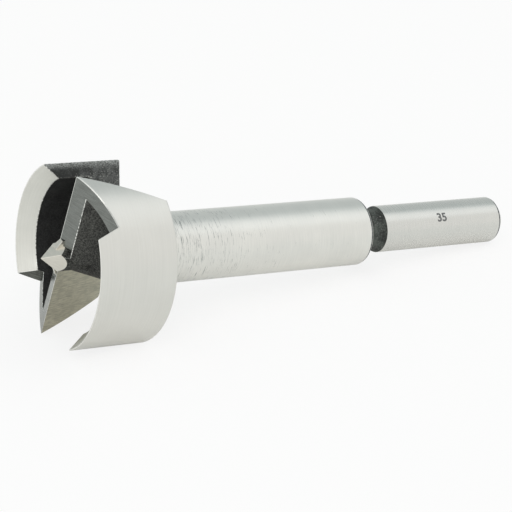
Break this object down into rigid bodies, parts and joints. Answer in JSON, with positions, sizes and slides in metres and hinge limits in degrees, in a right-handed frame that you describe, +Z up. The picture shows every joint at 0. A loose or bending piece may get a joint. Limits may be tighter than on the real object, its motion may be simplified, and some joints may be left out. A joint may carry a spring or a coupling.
{
  "type": "forstner bit",
  "caption": "Forstner drill bit with a cup-shaped cutting head, chip gullets, lifter edges and a centre point on a stout body with a round shank, lying as it rests",
  "frame": {"origin": "the middle of the bit's length and width at table level, where it lies at rest", "axes": "X along the bit from the head towards the shank, Y across it, Z up from the table; the bit's own axis dips towards the shank"},
  "size_m": [0.1054, 0.035, 0.034],
  "materials": {
    "tool_steel": "ground bright, black forged in the pockets and the neck"
  },
  "bodies": {
    "root": {"forstner_bit": "tool_steel"}
  },
  "joints": []
}
